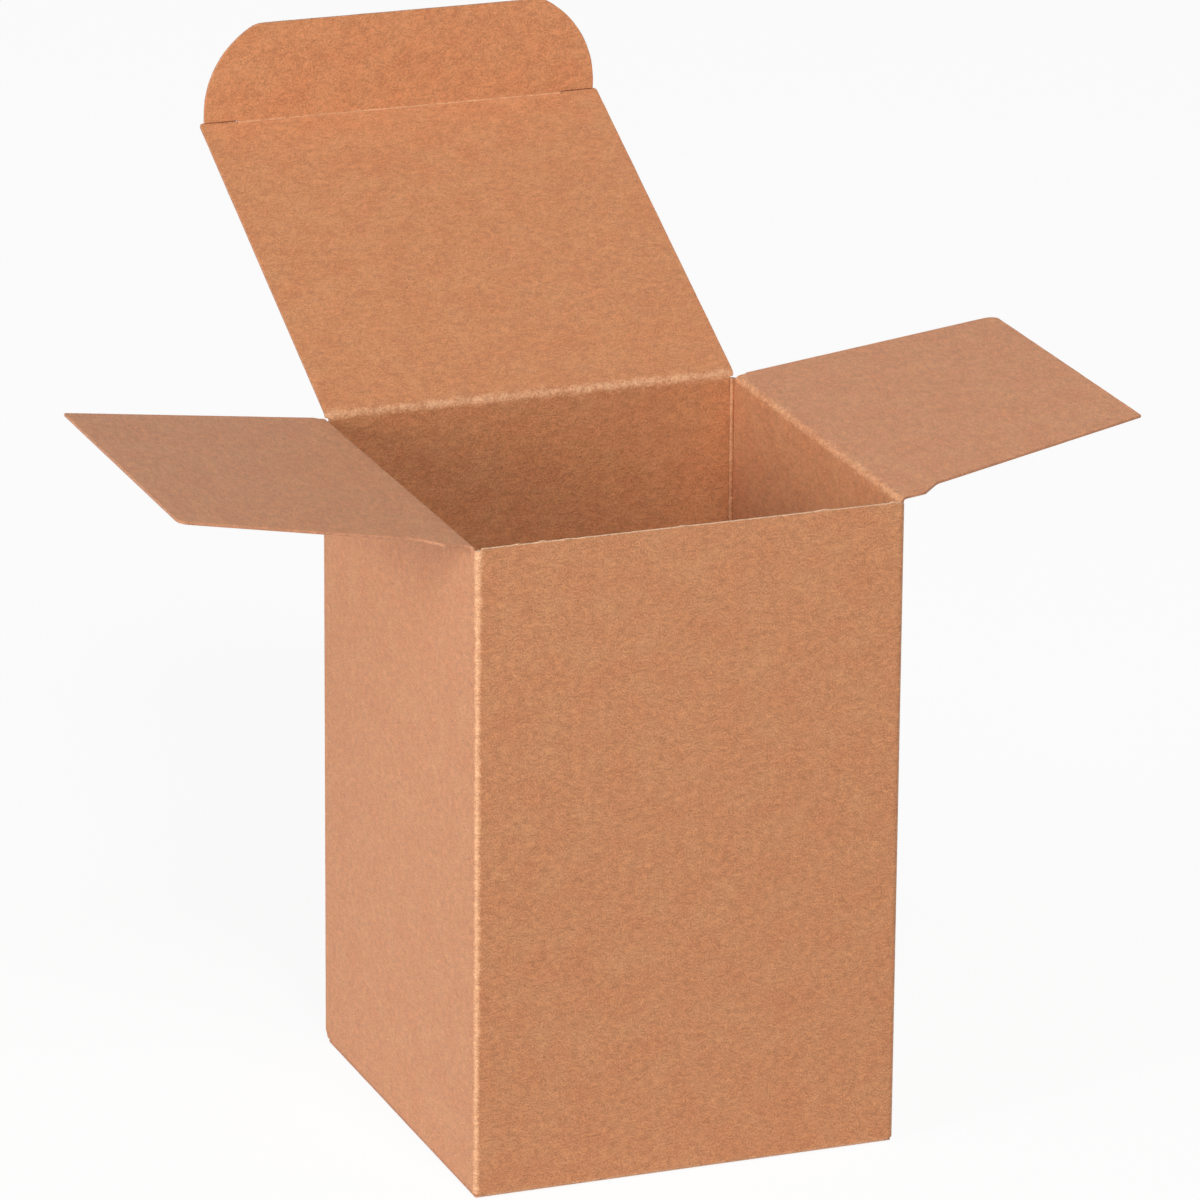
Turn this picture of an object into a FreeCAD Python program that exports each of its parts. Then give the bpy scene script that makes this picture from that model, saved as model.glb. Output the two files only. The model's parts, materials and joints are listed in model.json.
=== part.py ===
import FreeCAD, Part
import math
import os

from FreeCAD import Vector

# A folding carton of thin kraft board with a reverse tuck, standing upright and open.
# Millimetres. Origin: centre of the base, on the surface it stands on.
# +X to the carton's right, +Y to its back, +Z up. The front panel faces -Y.

# The board, and the carton outside its folds
board = 0.5
body_width = 77.0
body_depth = 78.0
body_height = 116.3

# The upright folds, the bead that scoring raises inside them, and the glued seam
fold_radius = 1.0
bead_radius = 0.4
bead_offset = 0.35
seam_fold_radius = 0.8
seam_setback = 0.4
lap_width = 13.0
lap_end_gap = 0.7
lap_end_slope = 15.0
lap_corner = 1.0

# The flap creases: both sides are bevelled on the inner face, so that a flap folds past square
score_angle = 46.5
tuck_score_angle = 50.5
score_clearance = 0.04
stack_clearance = 0.08
crease_end = 1.3

# The rim of the front panel, and the relief cuts where an upright fold ends
rim_drop = 0.2
rim_corner = 0.5
fold_top_relief = 0.05
fold_bottom_relief = 1.2

# The lid and its tuck flap, the same at the top and at the bottom
lid_side_gap = 0.35
tuck_gap = 0.6
slit_length = 7.0
slit_offset = 0.35
slit_width = 0.3
slit_end_gap = 0.12
lid_corner = 0.8
tuck_length = 18.4
tuck_side_inset = 0.8
tuck_shoulder_start = 2.2
tuck_shoulder_turn = 57.0
tuck_shoulder_end_gap = 0.4
tuck_tip_radius = 5.0

# The dust flaps; the notch gives the tuck flap room to slide in
left_flap_length = 47.6
right_flap_length = 50.0
flap_back_gap = 0.8
flap_back_rise = 2.0
flap_root_inset = 2.2
flap_root_length = 4.6
notch_depth = 3.2
notch_length = 3.4
notch_radius = 2.5
flap_taper = 11.5
flap_round_corner = 2.2
flap_sharp_corner = 0.4

# Folds inwards from the flat sheet, in degrees, as the carton stands
lid_turn = -63.6
tuck_turn = 64.5
left_flap_turn = -83.0
right_flap_turn = -83.1

# The closed bottom: how far its lid and tuck flap are folded, and how its dust flaps overlap
closed_lid_turn = 90.0
closed_tuck_turn = 98.5
bottom_fold_radius = 0.8
overlap_clearance = 0.12

# Sizes that follow from the ones above
half_width = body_width / 2
half_depth = body_depth / 2
layer_step = board + stack_clearance
side_crease_height = body_height - layer_step
fold_top = side_crease_height - fold_top_relief
fold_bottom = layer_step + fold_bottom_relief
lid_length = body_depth - board - tuck_gap
lid_half_width = half_width - lid_side_gap
slit_end = lid_half_width - slit_length


def rounded_outline(corners):
    """A closed wire in the XZ plane through corners of (x, z, radius), each rounded by its radius."""
    points = [Vector(x, 0, z) for x, z, radius in corners]
    edges = []
    joins = []
    for index, (x, z, radius) in enumerate(corners):
        here = points[index]
        back = (points[index - 1] - here).normalize()
        ahead = (points[(index + 1) % len(points)] - here).normalize()
        half_angle = back.getAngle(ahead) / 2
        reach = radius / math.tan(half_angle)
        rise = radius / math.sin(half_angle) - radius
        joins.append((here + back * reach, here + ahead * reach))
        if radius > 0:
            middle = here + (back + ahead).normalize() * rise
            edges.append(Part.Arc(joins[index][0], middle, joins[index][1]).toShape())
    for index in range(len(joins)):
        edges.append(Part.makeLine(joins[index - 1][1], joins[index][0]))
    return Part.Wire(Part.__sortEdges__(edges))


def sheet(corners, thickness=board):
    """Board cut to an outline, its outer face on y = 0 and its inner face at the thickness."""
    return Part.Face(rounded_outline(corners)).extrude(Vector(0, thickness, 0))


def rectangle(left, right, low, high, top_corner=0.0):
    """The corners of an upright rectangle, with its top corners rounded."""
    return [(left, low, 0), (right, low, 0), (right, high, top_corner), (left, high, top_corner)]


def score_wedge(reach, height, angle, side):
    """What the bevel takes off at a crease; side is 1 where the board lies above it, or -1 below."""
    past = board / 2
    edge = height + side * score_clearance
    slope = side * math.tan(math.radians(angle))
    corners = [
        Vector(-reach, -past, edge - slope * past),
        Vector(-reach, board + past, edge + slope * (board + past)),
        Vector(-reach, board + past, height - side * 2 * board),
        Vector(-reach, -past, height - side * 2 * board),
    ]
    face = Part.Face(Part.makePolygon(corners + corners[:1]))
    return face.extrude(Vector(2 * reach, 0, 0))


def fold(shape, crease_height, turn):
    """Folds a flat shape inwards about the line where its outer face meets a height."""
    folded = shape.copy()
    folded.rotate(Vector(0, 0, crease_height), Vector(1, 0, 0), -turn)
    return folded


def place(shape, crease, inward, away):
    """Puts a shape's crease at a point, with its inner side and its free edge turned as given."""
    along = inward.cross(away)
    turned = FreeCAD.Matrix(
        along.x, inward.x, away.x, crease.x,
        along.y, inward.y, away.y, crease.y,
        along.z, inward.z, away.z, crease.z,
        0, 0, 0, 1,
    )
    placed = shape.copy()
    placed.Placement = FreeCAD.Placement(turned).multiply(placed.Placement)
    return placed


up = Vector(0, 0, 1)
down = Vector(0, 0, -1)
to_right = Vector(1, 0, 0)
to_left = Vector(-1, 0, 0)
to_front = Vector(0, -1, 0)
to_back = Vector(0, 1, 0)

back_crease = Vector(0, half_depth, body_height)
front_bottom_crease = Vector(0, -half_depth, 0)
left_crease = Vector(-half_width, 0, side_crease_height)
right_crease = Vector(half_width, 0, side_crease_height)


def back_panel():
    """The back wall: its top is the lid's crease, its bottom a cut edge that the carton stands on."""
    seam_side = half_width - board - seam_fold_radius
    wall = sheet(rectangle(fold_radius - half_width, seam_side, -body_height, 0))
    wall = wall.cut(score_wedge(half_width, 0, score_angle, -1))
    return place(wall, back_crease, to_front, up)


def front_panel():
    """The front wall: its bottom is the bottom lid's crease, its top a cut rim."""
    rim = body_height - rim_drop
    side = half_width - fold_radius
    corners = [(-side, 0, 0), (side, 0, 0), (side, -rim, rim_corner), (-side, -rim, rim_corner)]
    wall = sheet(corners).cut(score_wedge(half_width, 0, score_angle, -1))
    return place(wall, front_bottom_crease, to_back, down)


def side_panels():
    """The left wall, which ends at the seam, and the right wall, between two folds."""
    low = layer_step + bottom_fold_radius - side_crease_height
    wedge = score_wedge(half_depth, 0, score_angle, -1)
    front = half_depth - fold_radius
    left = sheet(rectangle(seam_setback - half_depth, front, low, 0)).cut(wedge)
    right = sheet(rectangle(-front, front, low, 0)).cut(wedge)
    return [place(left, left_crease, to_right, up), place(right, right_crease, to_left, up)]


def quarter_fold(centre_x, centre_y, side_x, side_y, radius, low, high):
    """An upright fold: a quarter of a ring round a centre, towards the corner that the sides name."""
    centre = Vector(centre_x, centre_y, low)
    outer = Part.makeCylinder(radius, high - low, centre)
    inner = Part.makeCylinder(radius - board, high - low, centre)
    quarter_low = Vector(min(0, side_x) * radius, min(0, side_y) * radius, 0) + centre
    quarter = Part.makeBox(radius, radius, high - low, quarter_low)
    return outer.cut(inner).common(quarter)


def upright_folds():
    """The three folded corners, each with the bead that the score raises on the inside."""
    pieces = []
    for side_x, side_y in ((-1, -1), (1, -1), (1, 1)):
        centre_x = side_x * (half_width - fold_radius)
        centre_y = side_y * (half_depth - fold_radius)
        pieces.append(quarter_fold(centre_x, centre_y, side_x, side_y, fold_radius, fold_bottom, fold_top))
        slant = bead_offset * math.sqrt(0.5)
        bead_foot = Vector(centre_x + side_x * slant, centre_y + side_y * slant, fold_bottom)
        pieces.append(Part.makeCylinder(bead_radius, fold_top - fold_bottom, bead_foot))
    return pieces


def glue_lap():
    """The lap folded off the back wall and glued inside the left wall, with sloping ends."""
    centre_x = board + seam_fold_radius - half_width
    centre_y = half_depth - seam_fold_radius
    top = side_crease_height - lap_end_gap
    bend = quarter_fold(centre_x, centre_y, -1, 1, seam_fold_radius, fold_bottom, top)
    slope = lap_width * math.tan(math.radians(lap_end_slope))
    corners = [
        (-centre_y, fold_bottom, 0),
        (lap_width - centre_y, fold_bottom + slope, lap_corner),
        (lap_width - centre_y, top - slope, lap_corner),
        (-centre_y, top, 0),
    ]
    lap = place(sheet(corners), Vector(board - half_width, 0, 0), to_right, up)
    return [bend, lap]


def dust_flap_corners(length, tuck_side_corner, far_corner, hand):
    """A dust flap's outline; hand is 1 where the tuck flap comes in at low x, or -1 at high x."""
    notch_start = flap_root_length
    notch_end = notch_start + notch_length
    notch_inset = flap_root_inset + notch_depth
    taper = (length - notch_end) * math.tan(math.radians(flap_taper))
    far_side = body_depth - flap_back_gap
    outline = [
        (crease_end, 0, 0),
        (flap_root_inset, flap_root_inset - crease_end, crease_end),
        (flap_root_inset, notch_start, notch_radius / 2),
        (notch_inset, notch_end, notch_radius),
        (notch_inset + taper, length, tuck_side_corner),
        (far_side, length, far_corner),
        (far_side, flap_back_rise, 0),
        (body_depth - crease_end, crease_end, 0),
        (body_depth - crease_end, 0, 0),
    ]
    return [(hand * (across - half_depth), out, radius) for across, out, radius in outline]


def dust_flap(length, tuck_side_corner, far_corner, hand, turn):
    """A top dust flap, bevelled at its crease and folded."""
    corners = dust_flap_corners(length, tuck_side_corner, far_corner, hand)
    flap = sheet(corners).cut(score_wedge(half_depth, 0, score_angle, 1))
    return fold(flap, 0, turn)


def left_dust_flap():
    """The dust flap on the left wall, its rounded corner to the front."""
    corners = (flap_round_corner, flap_sharp_corner)
    flap = dust_flap(left_flap_length, *corners, -1, left_flap_turn)
    return place(flap, left_crease, to_right, up)


def right_dust_flap():
    """The dust flap on the right wall, its rounded corner to the back."""
    corners = (flap_sharp_corner, flap_round_corner)
    flap = dust_flap(right_flap_length, *corners, 1, right_flap_turn)
    return place(flap, right_crease, to_left, up)


def bottom_dust_flap(length, tilt):
    """A bottom dust flap folded in under the left wall, its notch to the back."""
    centre = Vector(bottom_fold_radius - half_width, half_depth, layer_step + bottom_fold_radius)
    bend = Part.makeCylinder(bottom_fold_radius, body_depth, centre, to_front)
    bend = bend.cut(Part.makeCylinder(bottom_fold_radius - board, body_depth, centre, to_front))
    quarter = Part.makeBox(bottom_fold_radius, body_depth, bottom_fold_radius)
    quarter.translate(Vector(-half_width, -half_depth, layer_step))
    plate = Part.makeBox(length, body_depth, board)
    plate.translate(Vector(centre.x, -half_depth, layer_step))
    bend = bend.common(quarter)
    flap = bend.fuse(plate)
    flap.rotate(centre, to_back, -tilt)
    flap = flap.fuse(bend)
    corners = dust_flap_corners(length, flap_sharp_corner, flap_round_corner, -1)
    outline = place(sheet(corners, body_height), Vector(-half_width, 0, 0), up, to_right)
    return flap.common(outline)


def bottom_dust_flaps():
    """The left flap lies flat on the bottom lid, and the right one leans up over its end."""
    left = bottom_dust_flap(left_flap_length, 0)
    run_to_overlap = body_width - left_flap_length - bottom_fold_radius
    tilt = math.degrees(math.atan((board + overlap_clearance) / run_to_overlap))
    right = bottom_dust_flap(right_flap_length, tilt).mirror(Vector(0, 0, 0), to_right)
    return [left, right]


def carton_body():
    """The folded and glued tube with its bottom dust flaps, one sheet of board."""
    pieces = side_panels() + upright_folds() + glue_lap() + bottom_dust_flaps() + [back_panel()]
    return front_panel().fuse(pieces).removeSplitter()


def flat_lid():
    """A lid panel, with a slit at each end of its tuck flap's crease."""
    tab = lid_length + slit_offset
    corners = [
        (-lid_half_width, 0, 0),
        (-lid_half_width, tab, lid_corner),
        (-slit_end, tab, 0),
        (-slit_end, lid_length, 0),
        (slit_end, lid_length, 0),
        (slit_end, tab, 0),
        (lid_half_width, tab, lid_corner),
        (lid_half_width, 0, 0),
    ]
    lid = sheet(corners).cut(score_wedge(half_width, 0, score_angle, 1))
    return lid.cut(score_wedge(slit_end, lid_length, tuck_score_angle, -1))


def flat_tuck():
    """A tuck flap above its lid: wide round shoulders, then a tighter turn into the free edge."""
    side = lid_half_width - tuck_side_inset
    root = slit_end - slit_end_gap
    low = lid_length + slit_offset + slit_width
    tip = lid_length + tuck_length
    turn = math.radians(tuck_shoulder_turn)
    tip_reach = tuck_tip_radius * math.tan(math.pi / 4 - turn / 2)
    slant_end = (tuck_shoulder_end_gap + tip_reach) * math.cos(turn)
    shoulder_reach = (tuck_length - tuck_shoulder_start - slant_end) / (1 + math.cos(turn))
    bend_height = lid_length + tuck_shoulder_start + shoulder_reach
    tip_inset = (tip - bend_height) * math.tan(turn)
    right_side = [
        (root, lid_length, 0),
        (root, low, 0),
        (side, low, 0),
        (side, bend_height, shoulder_reach / math.tan(turn / 2)),
        (side - tip_inset, tip, tuck_tip_radius),
    ]
    left_side = [(-across, height, radius) for across, height, radius in reversed(right_side)]
    tuck = sheet(right_side + left_side)
    return tuck.cut(score_wedge(root + board, lid_length, tuck_score_angle, 1))


def top_lid():
    """The lid, leaning back from the back wall."""
    return place(fold(flat_lid(), 0, lid_turn), back_crease, to_front, up)


def top_tuck_flap():
    """The tuck flap on the lid's free edge, bent up towards the front."""
    tuck = fold(flat_tuck(), lid_length, tuck_turn)
    return place(fold(tuck, 0, lid_turn), back_crease, to_front, up)


def bottom_lid():
    """The closed bottom lid, which the carton stands on."""
    return place(fold(flat_lid(), 0, closed_lid_turn), front_bottom_crease, to_back, down)


def bottom_tuck_flap():
    """The bottom tuck flap, up inside the back wall."""
    tuck = fold(flat_tuck(), lid_length, closed_tuck_turn)
    return place(fold(tuck, 0, closed_lid_turn), front_bottom_crease, to_back, down)


def write_parts():
    """Writes each piece of the carton to its own file."""
    os.makedirs("parts", exist_ok=True)
    makers = (
        carton_body,
        top_lid,
        top_tuck_flap,
        left_dust_flap,
        right_dust_flap,
        bottom_lid,
        bottom_tuck_flap,
    )
    for maker in makers:
        maker().exportStep("parts/" + maker.__name__ + ".step")


write_parts()
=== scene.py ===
import json
import math

import bmesh
import bpy
import numpy as np
from mathutils import Matrix, Vector, noise

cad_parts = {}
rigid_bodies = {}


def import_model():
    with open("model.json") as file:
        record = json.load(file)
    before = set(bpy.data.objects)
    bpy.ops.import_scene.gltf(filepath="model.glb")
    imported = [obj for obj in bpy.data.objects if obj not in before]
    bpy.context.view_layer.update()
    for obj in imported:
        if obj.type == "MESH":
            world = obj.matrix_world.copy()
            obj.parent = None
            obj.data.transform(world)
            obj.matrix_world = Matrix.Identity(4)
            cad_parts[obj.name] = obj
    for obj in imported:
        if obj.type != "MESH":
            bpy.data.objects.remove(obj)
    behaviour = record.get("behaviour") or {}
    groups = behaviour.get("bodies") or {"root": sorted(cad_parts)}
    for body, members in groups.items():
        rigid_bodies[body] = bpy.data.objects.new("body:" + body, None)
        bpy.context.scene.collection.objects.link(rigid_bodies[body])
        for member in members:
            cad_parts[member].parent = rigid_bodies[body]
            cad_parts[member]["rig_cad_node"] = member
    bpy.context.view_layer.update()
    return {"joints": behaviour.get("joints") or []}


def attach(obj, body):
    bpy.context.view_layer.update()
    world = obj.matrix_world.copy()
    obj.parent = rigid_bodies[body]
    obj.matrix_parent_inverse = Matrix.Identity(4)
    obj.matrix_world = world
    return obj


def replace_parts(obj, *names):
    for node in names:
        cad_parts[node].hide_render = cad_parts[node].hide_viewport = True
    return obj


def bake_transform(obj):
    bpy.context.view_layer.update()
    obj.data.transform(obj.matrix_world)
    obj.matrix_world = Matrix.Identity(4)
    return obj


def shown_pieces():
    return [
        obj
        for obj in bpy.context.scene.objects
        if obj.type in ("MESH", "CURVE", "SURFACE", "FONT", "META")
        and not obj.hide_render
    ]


# The carton's sheet of kraft board is drawn flat in millimetres and folded up over the frame.
# On the flat sheet, u runs along a crease, v away from it and w into the board from its outer face.

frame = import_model()

metres = 0.001
joints = {joint["name"]: joint for joint in frame["joints"]}

# The board and its folds, with how far a fold's bend reaches on each side of its line
board = 0.5
cut_round = 0.07
fold_radius = 1.0
bead_radius = 0.4
bead_offset = 0.35
seam_fold_radius = 0.8
lid_reach = 0.8
tuck_reach = 0.6
flap_reach = 0.6

# The carton's outside size, from the hinges of the lid, its tuck flap and the right dust flap
lid_hinge = Vector(joints["top_lid_hinge"]["pos_m"]) / metres
tuck_hinge = Vector(joints["top_tuck_hinge"]["pos_m"]) / metres
side_hinge = Vector(joints["right_dust_flap_hinge"]["pos_m"]) / metres
half_width = side_hinge.x
half_depth = lid_hinge.y
body_height = lid_hinge.z
side_height = side_hinge.z
layer_step = body_height - side_height

# The walls' cut edges
rim_drop = 0.2
rim_end = 0.5
rim_corner = 0.4
fold_top_relief = 0.05
crease_end = 1.3
lid_crease_inset = 1.0
lid_root_lean = 0.4
crease_end_lean = 0.1
cut_corner = 0.1
fold_foot = 0.65
back_step = 0.4
back_step_low_corner = 0.5
back_step_high_corner = 0.2

# The lap, and the corners beside the glued seam
lap_width = 13.0
lap_slope = 3.5
lap_top_gap = 0.7
lap_corner = 1.0
seam_setback = 0.4
seam_crease_gap = 0.3
seam_corner = 0.3
seam_slope = 0.7
seam_rise = 1.5
seam_rise_start = 0.9
seam_rise_corner = 0.8
seam_top_drop = 0.4
seam_top_end = 0.5
seam_top_corner = 0.2

# The lids and the tuck flaps
lid_length = (tuck_hinge - lid_hinge).length
lid_half_width = 38.15
slit_length = 7.0
slit_end = lid_half_width - slit_length
slit_offset = 0.35
slit_width = 0.3
slit_root_gap = 0.08
slit_corner = 0.1
lid_corner = 0.8
lid_shoulder_start = -0.5
lid_shoulder_corner = 0.3
top_lid_shoulder = -0.35
bottom_lid_shoulder = 0.5
tuck_length = 18.4
tuck_root_corner = 0.2
tuck_side_inset = 0.8
tuck_shoulder_start = 2.2
tuck_shoulder_turn = 57.0
tuck_shoulder_end_gap = 0.4
tuck_tip_radius = 5.0

# The dust flaps
left_flap_length = 47.6
right_flap_length = 50.0
flap_back_gap = 0.8
flap_back_rise = 2.0
flap_back_corner = 0.3
flap_root_inset = 2.2
flap_root_length = 4.6
notch_depth = 3.2
notch_length = 3.4
notch_radius = 2.5
flap_taper = 11.5
flap_round_corner = 2.2
flap_sharp_corner = 0.4

# Folds inwards from the flat sheet, in degrees
lid_turn = -63.6
tuck_turn = 64.5
left_flap_turn = -83.0
right_flap_turn = -83.1
closed_lid_turn = 90.0
closed_tuck_turn = 98.5
bottom_left_turn = 90.0
bottom_right_turn = 91.2

# The spacing of the mesh's lines: on the panels, along the front rim, across a bend and round a corner
grid = 2.5
rim_grid = 0.5
bend_grid = 0.16
fold_steps = 12
arc_grid = 0.35
wall_arc_grid = 0.2
lines_beside_fold = (0.3, 0.6)
lines_below_rim = (0.5, 1.0, 2.0)
lines_above_foot = (1.0, 2.0)
nearness = 1e-3

# The least angle between two faces, in degrees, that shows as a sharp edge
sharp_angle = 35.0

# Pale bands along folds and creases, partly scuffed stretched fibres and partly painted highlight where
# the bent board faces the light: how far out each has fallen to half its strength, and its strength
fold_wear_and_highlight = {
    "front left": (0.55, 0.78),
    "front right": (0.4, 0.45),
    "back right": (0.5, 0.6),
    "seam": (0.4, 0.6),
}
lid_wear_and_highlight = (0.85, 0.66)
tuck_wear_and_highlight = (0.3, 0.65)
left_flap_wear_and_highlight = (0.3, 0.5)
right_flap_wear_and_highlight = (0.8, 0.52)
# The front rim's pale band: partly scuffing, partly painted highlight where the rim catches light from
# above
rim_wear_and_highlight = (0.2, 0.8)
front_foot_share = 0.6
corner_wear_and_highlight = 0.5
corner_wear_and_highlight_fade = 7.0
wear_and_highlight_past_slit = 0.5

# The burrs that the die left on the front rim: distance from the rim's left end, height, half width
rim_burrs = (
    (6.4, 0.16, 0.5),
    (10.8, 0.24, 0.7),
    (15.0, 0.1, 0.8),
    (35.9, 0.14, 0.6),
    (61.0, 0.2, 1.1),
    (73.7, 0.24, 0.5),
)

# The front rim and the other cut edges: how far they wave, how finely, and how loose their fibres are; the
# front rim's pale cut face is partly loose fibres and partly painted highlight
rim_waves = 0.05
rim_pitch = 0.9
rim_fray_and_highlight = 1.0
edge_waves = 0.035
edge_pitch = 0.7
edge_layer = 0.5
edge_fray = 0.3


def rounded(corners, step=arc_grid):
    """Points along a closed outline through corners of (u, v, radius), each corner rounded."""
    points = []
    for index, (u, v, radius) in enumerate(corners):
        here = Vector((u, v))
        back = (Vector(corners[index - 1][:2]) - here).normalized()
        ahead = (Vector(corners[(index + 1) % len(corners)][:2]) - here).normalized()
        if radius == 0:
            points.append(here)
            continue
        half_angle = back.angle(ahead) / 2
        centre = here + (back + ahead).normalized() * radius / math.sin(half_angle)
        reach = radius / math.tan(half_angle)
        first = here + back * reach - centre
        sweep = first.angle_signed(here + ahead * reach - centre)
        count = max(3, round(abs(sweep) * radius / step))
        for part in range(count + 1):
            spin = Matrix.Rotation(-sweep * part / count, 2)
            points.append(centre + spin @ first)
    return points


def evenly(low, high, step):
    """Numbers from low to high, both included, about a step apart."""
    count = max(1, round((high - low) / step))
    return [low + (high - low) * index / count for index in range(count + 1)]


def near(first, second):
    """Whether two measures on the flat sheet are the same, but for rounding."""
    return abs(first - second) < nearness


def flat_net(outline, u_lines, v_lines):
    """A flat mesh of an outline, cut along the lines of a net: points, faces and rim edges."""
    net = bmesh.new()
    net.faces.new([net.verts.new((u, v, 0)) for u, v in outline])
    for axis, lines in ((0, u_lines), (1, v_lines)):
        for line in lines:
            point = Vector((0, 0, 0))
            point[axis] = line
            normal = Vector((0, 0, 0))
            normal[axis] = 1
            everything = net.verts[:] + net.edges[:] + net.faces[:]
            bmesh.ops.bisect_plane(net, geom=everything, dist=1e-5, plane_co=point, plane_no=normal)
    crowded = [face for face in net.faces if len(face.verts) > 4]
    bmesh.ops.triangulate(net, faces=crowded)
    bmesh.ops.recalc_face_normals(net, faces=net.faces)
    net.verts.index_update()
    if net.faces[:][0].normal.z < 0:
        bmesh.ops.reverse_faces(net, faces=net.faces)
    points = [vert.co.to_2d() for vert in net.verts]
    faces = [[vert.index for vert in face.verts] for face in net.faces]
    rim = []
    for edge in net.edges:
        if edge.is_boundary:
            loop = edge.link_loops[0]
            rim.append((loop.vert.index, loop.link_loop_next.vert.index))
    net.free()
    return points, faces, rim


def plain_cut(u, v):
    """A plain cut edge: how far it stands out of true, and how loose its fibres are."""
    return edge_waves * noise.noise(Vector((u, v, edge_layer)) * edge_pitch), edge_fray


def board_piece(name, outline, lines, shape, joined, creased, at, cut_edge=plain_cut):
    """Board of the outline, folded by shape(u, v, w). Its rim has a cut edge except where joined."""
    points, faces, rim = flat_net(outline, *lines)
    cut = [(a, b) for a, b in rim if not joined(points[a], points[b])]
    outward = {}
    for a, b in cut:
        along = (points[b] - points[a]).normalized()
        side = Vector((along.y, -along.x))
        for index in (a, b):
            outward[index] = outward.get(index, Vector((0, 0))) + side
    edge_fray_and_highlight = {}
    for index, side in outward.items():
        shift, edge_fray_and_highlight[index] = cut_edge(*points[index])
        outward[index] = side.normalized()
        points[index] = points[index] + outward[index] * shift
    flat = []
    trim = []
    for depth in (0, board):
        for index, point in enumerate(points):
            inset = outward.get(index, Vector((0, 0))) * cut_round
            flat.append((*(point - inset), depth))
            trim.append(0.0)
    made = [list(reversed(face)) for face in faces]
    made += [[index + len(points) for index in face] for face in faces]
    rings = []
    for depth in (cut_round, board / 2, board - cut_round):
        ring = {}
        for index in outward:
            ring[index] = len(flat)
            flat.append((*points[index], depth))
            trim.append(edge_fray_and_highlight[index])
        rings.append(ring)
    outer = {index: index for index in outward}
    inner = {index: index + len(points) for index in outward}
    layers = [outer, *rings, inner]
    for low, high in zip(layers, layers[1:]):
        made += [[low[a], low[b], high[b], high[a]] for a, b in cut]
    mesh = bpy.data.meshes.new(name)
    mesh.from_pydata([shape(u, v, w) * metres for u, v, w in flat], [], made)
    lasting = mesh.attributes.new("blank", "FLOAT_VECTOR", "POINT")
    places = [(u + at[0], v + at[1], w) for u, v, w in flat]
    lasting.data.foreach_set("vector", np.array(places, np.float32).ravel())
    mesh.attributes.new("trim", "FLOAT", "POINT").data.foreach_set("value", trim)
    folds = [creased(u, v) for u, v, w in flat]
    mesh.attributes.new("fold", "FLOAT", "POINT").data.foreach_set("value", folds)
    piece = bpy.data.objects.new(name, mesh)
    bpy.context.scene.collection.objects.link(piece)
    return piece


class Crease:
    """A crease in space: a point on its outer face, the flat sheet's directions, and its bend's reach."""

    def __init__(self, origin, inward, away, reach):
        self.origin = Vector(origin)
        self.inward = Vector(inward)
        self.away = Vector(away)
        self.along = self.inward.cross(self.away)
        self.reach = reach

    def folded(self, u, v, w, turn):
        """The place of a point of the sheet, bent by a turn within the reach of the crease."""
        angle = math.radians(turn)
        radius = self.reach / math.tan(abs(angle) / 2)
        if v <= -self.reach:
            sideways, onwards, bend = 0.0, v, 0.0
        elif v >= self.reach:
            sideways, onwards, bend = v * math.sin(angle), v * math.cos(angle), angle
        else:
            bend = angle * (v + self.reach) / (2 * self.reach)
            sideways = math.copysign(radius, angle) * (1 - math.cos(bend))
            onwards = radius * math.sin(abs(bend)) - self.reach
        sideways += w * math.cos(bend)
        onwards -= w * math.sin(bend)
        return self.origin + self.along * u + self.inward * sideways + self.away * onwards

    def beyond(self, length, turn, reach):
        """The next crease, a length past this one."""
        angle = math.radians(turn)
        away = self.inward * math.sin(angle) + self.away * math.cos(angle)
        inward = self.inward * math.cos(angle) - self.away * math.sin(angle)
        return Crease(self.origin + away * length, inward, away, reach)

    def lines(self, wear_and_highlight):
        """Where the net is cut along the crease, for its bend and its pale band of scuffing and painted
        highlight.
        """
        return evenly(-self.reach, self.reach, bend_grid) + [-2 * wear_and_highlight[0], 0, 2 * wear_and_highlight[0]]


back_crease = Crease((0, half_depth, body_height), (0, -1, 0), (0, 0, 1), lid_reach)
left_crease = Crease((-half_width, 0, side_height), (1, 0, 0), (0, 0, 1), flap_reach)
right_crease = Crease((half_width, 0, side_height), (-1, 0, 0), (0, 0, 1), flap_reach)
front_bottom_crease = Crease((0, -half_depth, 0), (0, 1, 0), (0, 0, -1), lid_reach)
left_bottom_crease = Crease((-half_width, 0, layer_step), (1, 0, 0), (0, 0, -1), flap_reach)
right_bottom_crease = Crease((half_width, 0, layer_step), (-1, 0, 0), (0, 0, -1), flap_reach)


def paleness(distance, wear_and_highlight):
    """How pale a crease is painted at a distance from its line, for scuffing and painted highlight: at
    full strength on it, half at its reach.
    """
    reach, strength = wear_and_highlight
    return strength * max(0.0, 1 - abs(distance) / (2 * reach))


# The walls

# The runs round the tube: each one's name, length, and the radius of its outer face where it is a fold
wall_runs = [
    ("left", 2 * half_depth - fold_radius - seam_setback, 0),
    ("front left", math.pi / 2 * fold_radius, fold_radius),
    ("front", 2 * (half_width - fold_radius), 0),
    ("front right", math.pi / 2 * fold_radius, fold_radius),
    ("right", 2 * (half_depth - fold_radius), 0),
    ("back right", math.pi / 2 * fold_radius, fold_radius),
    ("back", 2 * half_width - fold_radius - board - seam_fold_radius, 0),
    ("seam", math.pi / 2 * seam_fold_radius, seam_fold_radius),
    ("lap", lap_width, 0),
]
wall_starts = {}
wall_end = 0.0
for run_name, run_length, run_radius in wall_runs:
    wall_starts[run_name] = wall_end
    wall_end += run_length


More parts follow.
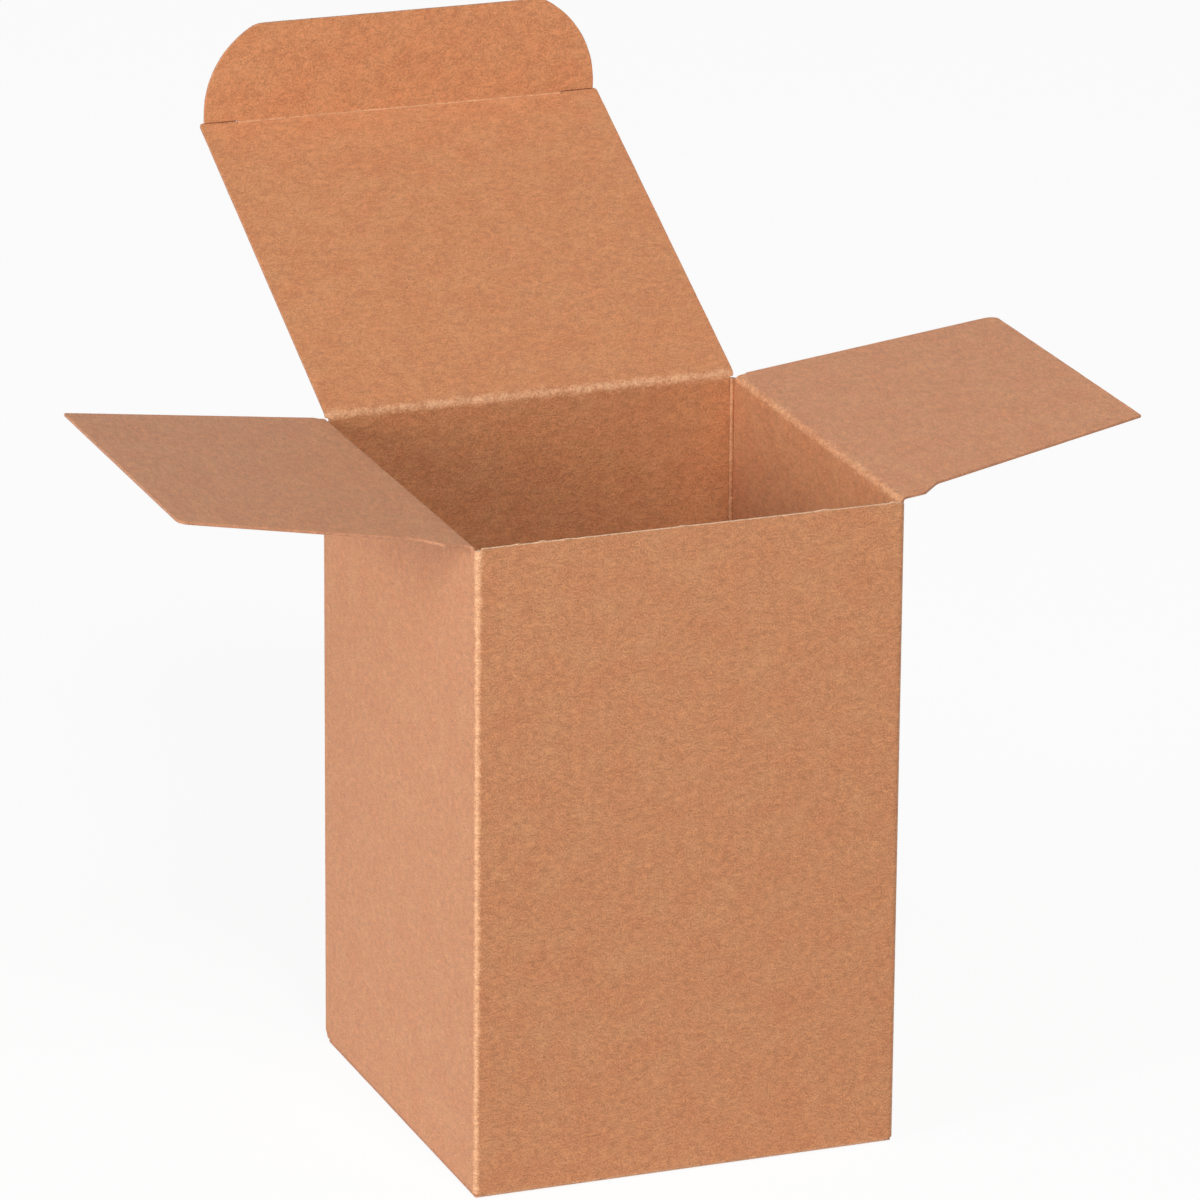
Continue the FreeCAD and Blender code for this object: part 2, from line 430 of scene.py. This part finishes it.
def bead_point(share):
    """A point of the inside of an upright fold, from its inner corner: along and across the first wall."""
    middle = board - fold_radius + bead_offset * math.sqrt(0.5)
    meet = math.sqrt(bead_radius**2 - middle**2)
    first = math.atan2(middle, -meet)
    first = first if first > 0 else first + 2 * math.pi
    last = math.atan2(meet, -middle)
    angle = first + (last - first) * share
    return middle + bead_radius * math.cos(angle), -middle + bead_radius * math.sin(angle)


def wall_point(u, v, w):
    """A point of the walls: u runs round them from the seam, past the front, v is the height."""
    place = Vector((-half_width, half_depth - seam_setback))
    heading = Vector((0, -1))
    for name, length, radius in wall_runs:
        left = Vector((-heading.y, heading.x))
        here = u - wall_starts[name]
        if here <= length or name == "lap":
            break
        if radius == 0:
            place = place + heading * length
        else:
            place = place + (heading + left) * radius
            heading = left
    if radius == 0:
        spot = place + heading * here + left * w
    else:
        angle = here / radius
        middle = place + left * radius
        spoke = heading * math.sin(angle) - left * math.cos(angle)
        outer = middle + spoke * radius
        inner = middle + spoke * (radius - board)
        if name != "seam":
            along, across = bead_point(here / length)
            corner = middle + (heading - left) * (radius - board)
            inner = corner + heading * along + left * across
        spot = outer.lerp(inner, w / board)
    return Vector((spot.x, spot.y, v))


def wall_corners():
    """The outline of the four walls and the lap, from the left wall's bottom at the seam."""
    side_low = layer_step + flap_reach
    side_high = side_height - flap_reach
    back_high = body_height - lid_reach
    rim = body_height - rim_drop
    left = wall_starts["left"]
    front = wall_starts["front"]
    right = wall_starts["right"]
    back = wall_starts["back"]
    seam = wall_starts["seam"]
    front_end = wall_starts["front right"]
    right_end = wall_starts["back right"]
    fold_inset = crease_end - fold_radius
    lid_inset = lid_crease_inset - fold_radius
    left_flap_end = wall_starts["front left"] - fold_inset
    left_flap_start = crease_end - seam_setback
    seam_inset = lid_crease_inset - board - seam_fold_radius + seam_crease_gap
    lap = wall_starts["lap"]
    low = fold_foot
    high = side_height - fold_top_relief
    lean = crease_end_lean
    bottom = [
        (left, seam_rise + seam_slope, 0),
        (left_flap_start, side_low + lean, seam_corner),
        (left_flap_start, side_low, 0),
        (left_flap_end, side_low, 0),
        (left_flap_end + lean, low, cut_corner),
        (front + lid_inset - lean, low, cut_corner),
        (front + lid_inset, lid_reach, 0),
        (front_end - lid_inset, lid_reach, 0),
        (front_end - lid_inset + lean, low, cut_corner),
        (right + fold_inset - lean, low, cut_corner),
        (right + fold_inset, side_low, 0),
        (right_end - fold_inset, side_low, 0),
        (right_end - fold_inset + lean, low, cut_corner),
        (back - back_step, low, back_step_high_corner),
        (back + back_step, 0, back_step_low_corner),
        (seam - seam_rise_start, 0, seam_rise_corner),
        (lap, seam_rise, seam_rise_corner),
        (wall_end, seam_rise + lap_slope, lap_corner),
    ]
    top = [
        (wall_end, side_height - lap_top_gap - lap_slope, lap_corner),
        (lap, side_height - lap_top_gap, 0),
        (seam + seam_top_end, side_height - seam_top_drop, seam_top_corner),
        (seam - seam_inset, back_high, 0),
        (back + lid_inset, back_high, 0),
        (back + lid_inset - lid_root_lean, high, 0),
        (right_end - fold_inset, high, 0),
        (right_end - fold_inset, side_high, 0),
        (right + fold_inset, side_high, 0),
        (right + fold_inset, high, 0),
        (front_end + rim_end, high, 0),
        (front_end, rim, rim_corner),
        (front, rim, rim_corner),
        (front - rim_end, high, 0),
        (left_flap_end, high, 0),
        (left_flap_end, side_high, 0),
        (left_flap_start, side_high, 0),
        (left_flap_start, high, 0),
        (left, high, 0),
    ]
    return bottom + top


def on_flap_crease(a, b):
    """Whether a rim edge of the walls is where a flap or a lid goes on."""
    heights = (layer_step + flap_reach, side_height - flap_reach, body_height - lid_reach, lid_reach)
    return near(a.y, b.y) and any(near(a.y, height) for height in heights)


def wall_fold(u, v):
    """How pale a point of the walls is painted, by the folds, the front rim and foot, and the creases of
    the lid and the flaps: partly scuffing, partly painted highlight.
    """
    wear_and_highlight = 0.0
    for name, length, radius in wall_runs:
        start = wall_starts[name]
        if radius > 0:
            reach, strength = fold_wear_and_highlight[name]
            if name == "front left":
                reach += corner_wear_and_highlight * math.exp((v - body_height) / corner_wear_and_highlight_fade)
            wear_and_highlight = max(wear_and_highlight, paleness(u - start - length / 2, (reach, strength)))
        elif start <= u <= start + length:
            if name == "back":
                wear_and_highlight = max(wear_and_highlight, paleness(v - body_height, lid_wear_and_highlight))
            elif name == "front":
                foot = front_foot_share * paleness(v, rim_wear_and_highlight)
                wear_and_highlight = max(wear_and_highlight, paleness(v - body_height, rim_wear_and_highlight), foot)
            elif name == "left":
                wear_and_highlight = max(wear_and_highlight, paleness(v - side_height, left_flap_wear_and_highlight))
            elif name == "right":
                wear_and_highlight = max(wear_and_highlight, paleness(v - side_height, right_flap_wear_and_highlight))
    return wear_and_highlight


def wall_cut(u, v):
    """The walls' cut edges: the front rim is burred and painted pale, partly for loose fibres and partly
    as painted highlight; the others are plain.
    """
    along = u - wall_starts["front"]
    length = wall_starts["front right"] - wall_starts["front"]
    on_front = -fold_radius <= along <= length + fold_radius
    if not on_front or v < body_height - 1:
        return plain_cut(u, v)
    shift = rim_waves * noise.noise(Vector((along * rim_pitch, 0, 0)))
    for place, rise, half in rim_burrs:
        shift += rise * math.exp(-(((along - place) / half) ** 2))
    return shift, rim_fray_and_highlight


def wall_lines():
    """Where the walls' net is cut: finer round the folds, along the front rim, and near the edges."""
    close, far = lines_beside_fold
    u_lines = []
    for name, length, radius in wall_runs:
        start = wall_starts[name]
        step = grid
        if name == "front":
            step = rim_grid
        if radius > 0:
            step = length / fold_steps
        end = start + length
        u_lines += evenly(start, end, step)
        if radius > 0:
            u_lines += [start - far, start - close, end + close, end + far]
    v_lines = evenly(0, body_height, grid)
    for level in (side_height, body_height):
        v_lines += [level - drop for drop in lines_below_rim]
    v_lines += lines_above_foot
    return u_lines, v_lines


def walls():
    """The four walls and the lap, folded round into a tube."""
    outline = rounded(wall_corners(), wall_arc_grid)
    lines = wall_lines()
    piece = board_piece(
        "carton_walls", outline, lines, wall_point, on_flap_crease, wall_fold, (0, 0), wall_cut
    )
    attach(piece, "carton_body")
    return piece


# The lids and the tuck flaps

def lid_outline(shoulder):
    """A lid's outline; its shoulder is where it has widened past the end of its crease."""
    root = half_width - lid_crease_inset
    tab = lid_length + slit_offset
    right_side = [
        (root, -lid_reach, 0),
        (root, lid_shoulder_start, 0),
        (lid_half_width, shoulder, lid_shoulder_corner),
        (lid_half_width, tab, lid_corner),
        (slit_end, tab, slit_corner),
        (slit_end, lid_length - tuck_reach, 0),
    ]
    left_side = [(-u, v, radius) for u, v, radius in reversed(right_side)]
    return rounded(right_side + left_side)


def lid(name, crease, free_crease, turn, shoulder, at):
    """A lid, from the wall that carries it to its free crease."""
    def folded(u, v, w):
        return crease.folded(u, v, w, turn)

    def joined(a, b):
        at_tuck = near(a.y, lid_length - tuck_reach) and abs(a.x + b.x) < 2 * slit_end
        return near(a.y, b.y) and (near(a.y, -lid_reach) or at_tuck)

    def creased(u, v):
        beside_tuck = abs(u) < slit_end + wear_and_highlight_past_slit
        free = paleness(v - lid_length, tuck_wear_and_highlight) if beside_tuck else 0.0
        return max(paleness(v, lid_wear_and_highlight), free)

    u_lines = evenly(-lid_half_width, lid_half_width, grid) + [-slit_end, slit_end]
    v_lines = crease.lines(lid_wear_and_highlight) + evenly(lid_reach, lid_length - tuck_reach, grid)
    v_lines += [lid_length + line for line in free_crease.lines(tuck_wear_and_highlight)]
    return board_piece(name, lid_outline(shoulder), (u_lines, v_lines), folded, joined, creased, at)


def tuck_outline(side):
    """Wide round shoulders, then a tighter turn into the free edge."""
    root = slit_end - slit_root_gap
    low = slit_offset + slit_width
    turn = math.radians(tuck_shoulder_turn)
    tip_reach = tuck_tip_radius * math.tan(math.pi / 4 - turn / 2)
    slant_end = (tuck_shoulder_end_gap + tip_reach) * math.cos(turn)
    shoulder_reach = (tuck_length - tuck_shoulder_start - slant_end) / (1 + math.cos(turn))
    bend_height = tuck_shoulder_start + shoulder_reach
    tip_inset = (tuck_length - bend_height) * math.tan(turn)
    right_side = [
        (root, -tuck_reach, 0),
        (root, low, slit_corner),
        (side, low, tuck_root_corner),
        (side, bend_height, shoulder_reach / math.tan(turn / 2)),
        (side - tip_inset, tuck_length, tuck_tip_radius),
    ]
    left_side = [(-u, v, radius) for u, v, radius in reversed(right_side)]
    return rounded(right_side + left_side)


def flap(name, crease, turn, outline, side, wear_and_highlight, at):
    """A flap of the outline, as wide as side to each side, from the bend at its crease to its tip."""
    def folded(u, v, w):
        return crease.folded(u, v, w, turn)

    def joined(a, b):
        return near(a.y, -crease.reach) and near(b.y, -crease.reach)

    def creased(u, v):
        return paleness(v, wear_and_highlight)

    tip = max(v for u, v in outline)
    lines = (evenly(-side, side, grid), crease.lines(wear_and_highlight) + evenly(crease.reach, tip, grid))
    return board_piece(name, outline, lines, folded, joined, creased, at)


def bend_across(piece, crease, turn):
    """Works out the crease past a piece's bend, which nothing reads, and bakes the piece's place into its
    mesh.
    """
    bent = crease.beyond(crease.reach, turn, crease.reach)
    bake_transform(piece)


def lid_and_tuck(end, crease, turn, free_turn, shoulder, across):
    """The lid at the top or the bottom end, with the tuck flap on its free crease."""
    free_crease = crease.beyond(lid_length, turn, tuck_reach)
    at = (across, body_height)
    free_at = (across, body_height + lid_length)
    panel = lid(end + "_lid_panel", crease, free_crease, turn, shoulder, at)
    bend_across(panel, crease, turn)
    tuck_side = lid_half_width - tuck_side_inset
    outline = tuck_outline(tuck_side)
    tuck = flap(end + "_tuck_panel", free_crease, free_turn, outline, tuck_side, tuck_wear_and_highlight, free_at)
    bend_across(tuck, free_crease, free_turn)
    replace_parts(panel, end + "_lid")
    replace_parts(tuck, end + "_tuck_flap")


def lids():
    """The open lid on the back wall, and the closed one under the front wall."""
    top_across = wall_starts["back"] + half_width
    bottom_across = wall_starts["front"]
    lid_and_tuck("top", back_crease, lid_turn, tuck_turn, top_lid_shoulder, top_across)
    lid_and_tuck(
        "bottom",
        front_bottom_crease,
        closed_lid_turn,
        closed_tuck_turn,
        bottom_lid_shoulder,
        bottom_across,
    )


# The dust flaps

def dust_outline(length, tuck_side_corner, far_corner, hand):
    """A dust flap's outline; hand is 1 where the tuck flap comes in at low u, or -1 at high u."""
    notch_end = flap_root_length + notch_length
    notch_inset = flap_root_inset + notch_depth
    taper = (length - notch_end) * math.tan(math.radians(flap_taper))
    far_side = 2 * half_depth - flap_back_gap
    corners = [
        (crease_end, -flap_reach, 0),
        (crease_end, 0, 0),
        (flap_root_inset, flap_root_inset - crease_end, crease_end),
        (flap_root_inset, flap_root_length, notch_radius / 2),
        (notch_inset, notch_end, notch_radius),
        (notch_inset + taper, length, tuck_side_corner),
        (far_side, length, far_corner),
        (far_side, flap_back_rise, flap_back_corner),
        (2 * half_depth - crease_end, crease_end, 0),
        (2 * half_depth - crease_end, -flap_reach, 0),
    ]
    corners = [(hand * (u - half_depth), v, radius) for u, v, radius in corners]
    return rounded(corners if hand > 0 else corners[::-1])


def top_dust_flap(hand_name, crease, turn, outline, wear_and_highlight, across):
    """A dust flap that stands open, bent at its crease."""
    at = (across, body_height)
    panel = flap(hand_name + "_flap_panel", crease, turn, outline, half_depth, wear_and_highlight, at)
    bend_across(panel, crease, turn)
    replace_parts(panel, hand_name + "_dust_flap")


def bottom_dust_flap(hand_name, crease, turn, outline, wear_and_highlight, across):
    """A dust flap folded in under the carton, fixed to it."""
    at = (across, -body_height)
    panel = flap("bottom_" + hand_name + "_flap_panel", crease, turn, outline, half_depth, wear_and_highlight, at)
    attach(panel, "carton_body")


def dust_flaps():
    """The dust flaps: a pair open at the top, and a pair closed at the bottom."""
    round_first = (flap_round_corner, flap_sharp_corner)
    sharp_first = (flap_sharp_corner, flap_round_corner)
    left_across = wall_starts["left"] + half_depth
    right_across = wall_starts["right"] + half_depth
    left = dust_outline(left_flap_length, *round_first, -1)
    right = dust_outline(right_flap_length, *sharp_first, 1)
    bottom_left = dust_outline(left_flap_length, *sharp_first, -1)
    top_dust_flap("left", left_crease, left_flap_turn, left, left_flap_wear_and_highlight, left_across)
    top_dust_flap("right", right_crease, right_flap_turn, right, right_flap_wear_and_highlight, right_across)
    bottom_dust_flap(
        "left", left_bottom_crease, bottom_left_turn, bottom_left, left_flap_wear_and_highlight, left_across
    )
    bottom_dust_flap(
        "right", right_bottom_crease, bottom_right_turn, right, right_flap_wear_and_highlight, right_across
    )


# The kraft board's material

class Nodes:
    """Makes the nodes of one material."""

    def __init__(self, name):
        self.material = bpy.data.materials.new(name)
        self.material.use_nodes = True
        self.tree = self.material.node_tree
        self.shader = self.tree.nodes["Principled BSDF"]

    def link(self, value, socket):
        """Gives a socket its value: a number, a tuple, or another node's output."""
        if isinstance(value, (int, float, tuple)):
            socket.default_value = value
        else:
            self.tree.links.new(value, socket)

    def attribute(self, name, output):
        node = self.tree.nodes.new("ShaderNodeAttribute")
        node.attribute_name = name
        return node.outputs[output]

    def math(self, operation, *values):
        node = self.tree.nodes.new("ShaderNodeMath")
        node.operation = operation
        for value, socket in zip(values, node.inputs):
            self.link(value, socket)
        return node.outputs["Value"]

    def vector(self, operation, *values):
        node = self.tree.nodes.new("ShaderNodeVectorMath")
        node.operation = operation
        for value, socket in zip(values, node.inputs):
            self.link(value, socket)
        return node.outputs["Vector"]

    def turned(self, place, degrees):
        """A place on the sheet, turned about the sheet's normal."""
        node = self.tree.nodes.new("ShaderNodeVectorRotate")
        node.rotation_type = "Z_AXIS"
        node.inputs["Angle"].default_value = math.radians(degrees)
        self.link(place, node.inputs["Vector"])
        return node.outputs["Vector"]

    def noise(self, place, scale, detail, rough, output="Fac"):
        """Noise with a number of grains per millimetre along, across and into the sheet."""
        node = self.tree.nodes.new("ShaderNodeTexNoise")
        node.inputs["Scale"].default_value = 1.0
        node.inputs["Detail"].default_value = detail
        node.inputs["Roughness"].default_value = rough
        self.link(self.vector("MULTIPLY", place, scale), node.inputs["Vector"])
        return node.outputs[output]

    def total(self, *values):
        result = values[0]
        for value in values[1:]:
            result = self.math("ADD", result, value)
        return result

    def swing(self, value, reach):
        """A noise's usual range, turned into a swing of a reach to each side of nought."""
        return self.spread(value, 0.3, 0.7, -reach, reach)

    def spread(self, value, low, high, out_low, out_high):
        """A value's range from low to high, stretched to another range and held within it."""
        node = self.tree.nodes.new("ShaderNodeMapRange")
        for number, socket in zip((value, low, high, out_low, out_high), node.inputs):
            self.link(number, socket)
        return node.outputs["Result"]

    def mix(self, share, first, second):
        node = self.tree.nodes.new("ShaderNodeMix")
        node.data_type = "RGBA"
        self.link(share, node.inputs[0])
        self.link(first, node.inputs[6])
        self.link(second, node.inputs[7])
        return node.outputs[2]


# The board's colours, each from its dark fibres to its light ones
ruddy_board = ((0.43, 0.160, 0.062, 1), (0.68, 0.266, 0.106, 1))
sandy_board = ((0.42, 0.172, 0.069, 1), (0.66, 0.284, 0.118, 1))
# Painted shade: a darker copy of the board's colour for its outer face, though both faces are the same
# board
outside_painted_shade = ((0.81, 0.83, 0.84, 1), (0.89, 0.91, 0.92, 1))
# Pale folds and creases: partly scuffed fibres, partly painted highlight on the bent board
worn_and_lit_board = ((0.53, 0.28, 0.145, 1), (0.79, 0.45, 0.245, 1))
core_board = ((0.32, 0.135, 0.067, 1), (0.50, 0.22, 0.112, 1))
# The front rim's pale cut face: partly loose fibres, partly painted highlight
frayed_and_lit_board = ((0.62, 0.38, 0.22, 1), (0.92, 0.66, 0.43, 1))


def kraft_material():
    """Unbleached board: pulp clouds, curved fibres and fine grain over the flat sheet."""
    kraft = Nodes("kraft_board")
    blank = kraft.attribute("blank", "Vector")
    fold = kraft.attribute("fold", "Fac")
    trim = kraft.attribute("trim", "Fac")

    stray = kraft.noise(blank, scale=(0.3, 0.3, 0.3), detail=2, rough=0.5, output="Color")
    stray = kraft.vector("MULTIPLY", kraft.vector("SUBTRACT", stray, (0.5, 0.5, 0.5)), (4, 4, 0))
    curved = kraft.vector("ADD", blank, stray)
    hue = kraft.noise(blank, scale=(0.16, 0.16, 0.16), detail=4, rough=0.6)
    cloud = kraft.noise(blank, scale=(0.7, 0.8, 0.7), detail=4, rough=0.65)
    level_fibres = kraft.noise(curved, scale=(0.55, 3.4, 1), detail=3, rough=0.6)
    leaning = kraft.turned(curved, 50)
    leaning_fibres = kraft.noise(leaning, scale=(0.6, 3.2, 1), detail=3, rough=0.6)
    grain = kraft.noise(blank, scale=(3.4, 3.4, 3.4), detail=3, rough=0.7)
    specks = kraft.noise(blank, scale=(1.7, 2.1, 1.7), detail=1, rough=0.5)
    flecks = kraft.spread(specks, 0.66, 0.75, 0, 1)
    tone = kraft.total(
        kraft.spread(cloud, 0.3, 0.7, 0.25, 0.75),
        kraft.swing(grain, 0.6),
        kraft.swing(hue, 0.08),
        kraft.swing(level_fibres, 0.32),
        kraft.swing(leaning_fibres, 0.16),
        kraft.math("MULTIPLY", flecks, -0.3),
    )

    ruddy = kraft.mix(tone, *ruddy_board)
    sandy = kraft.mix(tone, *sandy_board)
    inside = kraft.mix(kraft.spread(hue, 0.34, 0.66, 0, 1), ruddy, sandy)
    # Painted shade: the outer face gets a darker copy of the same board colour than the inner face
    outside = kraft.vector("MULTIPLY", inside, kraft.mix(tone, *outside_painted_shade))
    depth = kraft.tree.nodes.new("ShaderNodeSeparateXYZ")
    kraft.link(blank, depth.inputs["Vector"])
    colour = kraft.mix(kraft.spread(depth.outputs["Z"], 0.1, 0.4, 0, 1), outside, inside)
    # Pale folds and creases, partly scuffed fibres and partly painted highlight where the bent board faces
    # the light
    ragged = kraft.total(fold, kraft.swing(cloud, 0.2), kraft.swing(grain, 0.16))
    wear_and_highlight_share = kraft.spread(ragged, 0.25, 0.95, 0, 1)
    colour = kraft.mix(wear_and_highlight_share, colour, kraft.mix(tone, *worn_and_lit_board))
    core = kraft.mix(tone, *core_board)
    # The front rim's pale cut face: partly loose fibres, partly painted highlight where it catches light
    # from above
    frayed_and_lit = kraft.mix(tone, *frayed_and_lit_board)
    cut = kraft.mix(kraft.spread(trim, 0.35, 1, 0, 1), core, frayed_and_lit)
    colour = kraft.mix(kraft.spread(trim, 0.05, 0.3, 0, 1), colour, cut)
    kraft.link(colour, kraft.shader.inputs["Base Color"])

    height = kraft.total(
        cloud,
        kraft.math("MULTIPLY", grain, 0.6),
        kraft.math("MULTIPLY", level_fibres, 0.9),
        kraft.math("MULTIPLY", leaning_fibres, 0.7),
    )
    bump = kraft.tree.nodes.new("ShaderNodeBump")
    bump.inputs["Strength"].default_value = 0.7
    bump.inputs["Distance"].default_value = 0.00011
    kraft.link(height, bump.inputs["Height"])
    kraft.link(bump.outputs["Normal"], kraft.shader.inputs["Normal"])
    kraft.shader.inputs["Roughness"].default_value = 0.65
    kraft.shader.inputs["Specular IOR Level"].default_value = 0.5
    kraft.shader.inputs["Sheen Weight"].default_value = 0.12
    return kraft.material


# The studio

camera_place = Vector((-0.47697, -1.24086, 0.53796))
camera_forward = Vector((0.33905, 0.88506, -0.31893)).normalized()
camera_up = Vector((0.1068, 0.30061, 0.94775)).normalized()
camera_lens = 244.65
world_light = 0.13
floor_drop = 0.0002
floor_reach = 6.0
floor_colour = (0.93, 0.93, 0.93, 1)
floor_glow = 0.92


def studio_camera():
    """The camera at the photograph's place, in metres, with its long lens."""
    data = bpy.data.cameras.new("studio_camera")
    data.sensor_width = 36
    data.lens = camera_lens
    data.clip_start = 0.05
    data.clip_end = 50
    camera = bpy.data.objects.new("studio_camera", data)
    back = -camera_forward
    right = camera_up.cross(back).normalized()
    up = back.cross(right)
    turned = Matrix((right, up, back)).transposed()
    camera.matrix_world = Matrix.Translation(camera_place) @ turned.to_4x4()
    bpy.context.scene.collection.objects.link(camera)
    bpy.context.scene.camera = camera


def soft_light(name, place, size, power):
    """A round soft box that faces the carton."""
    data = bpy.data.lights.new(name, "AREA")
    data.shape = "DISK"
    data.size = size
    data.energy = power
    light = bpy.data.objects.new(name, data)
    light.location = place
    aim = Vector((0, 0, body_height / 2 * metres)) - Vector(place)
    light.rotation_mode = "QUATERNION"
    light.rotation_quaternion = aim.to_track_quat("-Z", "Y")
    bpy.context.scene.collection.objects.link(light)


def studio_world():
    """An even pale world, which is white where it is seen or mirrored."""
    world = bpy.data.worlds.new("studio")
    world.use_nodes = True
    nodes = world.node_tree.nodes
    links = world.node_tree.links
    backdrop = nodes["Background"]
    backdrop.inputs["Color"].default_value = (1, 1, 1, 1)
    path = nodes.new("ShaderNodeLightPath")
    seen = nodes.new("ShaderNodeMath")
    seen.operation = "MAXIMUM"
    links.new(path.outputs["Is Camera Ray"], seen.inputs[0])
    links.new(path.outputs["Is Glossy Ray"], seen.inputs[1])
    strength = nodes.new("ShaderNodeMapRange")
    strength.inputs["To Min"].default_value = world_light
    strength.inputs["To Max"].default_value = 1.0
    links.new(seen.outputs["Value"], strength.inputs["Value"])
    links.new(strength.outputs["Result"], backdrop.inputs["Strength"])
    bpy.context.scene.world = world


def studio_floor():
    """A white floor, which the camera sees bright wherever the carton's shadow isn't."""
    mesh = bpy.data.meshes.new("studio_floor")
    reach = floor_reach
    corners = [(-reach, -reach, 0), (reach, -reach, 0), (reach, reach, 0), (-reach, reach, 0)]
    mesh.from_pydata(corners, [], [(0, 1, 2, 3)])
    floor = bpy.data.objects.new("studio_floor", mesh)
    floor.location.z = -floor_drop
    bpy.context.scene.collection.objects.link(floor)
    paint = Nodes("studio_floor")
    paint.shader.inputs["Base Color"].default_value = floor_colour
    paint.shader.inputs["Roughness"].default_value = 0.9
    paint.shader.inputs["Specular IOR Level"].default_value = 0.0
    glow = paint.tree.nodes.new("ShaderNodeEmission")
    path = paint.tree.nodes.new("ShaderNodeLightPath")
    seen = paint.math("MAXIMUM", path.outputs["Is Camera Ray"], path.outputs["Is Glossy Ray"])
    mixed = paint.tree.nodes.new("ShaderNodeMixShader")
    paint.link(paint.math("MULTIPLY", seen, floor_glow), mixed.inputs["Fac"])
    paint.link(paint.shader.outputs["BSDF"], mixed.inputs[1])
    paint.link(glow.outputs["Emission"], mixed.inputs[2])
    paint.link(mixed.outputs["Shader"], paint.tree.nodes["Material Output"].inputs["Surface"])
    floor.data.materials.append(paint.material)


def studio():
    """Plain soft light: a low one from the left, and a higher one from the front."""
    studio_camera()
    studio_world()
    studio_floor()
    soft_light("key", place=(-2.12, -0.56, 0.62), size=1.2, power=43.5)
    soft_light("front", place=(-0.14, -1.63, 1.69), size=1.2, power=35.5)
    bpy.context.scene.view_settings.view_transform = "Standard"


def dress():
    """Puts the folded board in place of the solids."""
    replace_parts(walls(), "carton_body")
    lids()
    dust_flaps()
    kraft = kraft_material()
    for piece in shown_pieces():
        if "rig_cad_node" not in piece:
            piece.data.materials.append(kraft)
            piece.data.shade_smooth()
            piece.data.set_sharp_from_angle(angle=math.radians(sharp_angle))


dress()
studio()
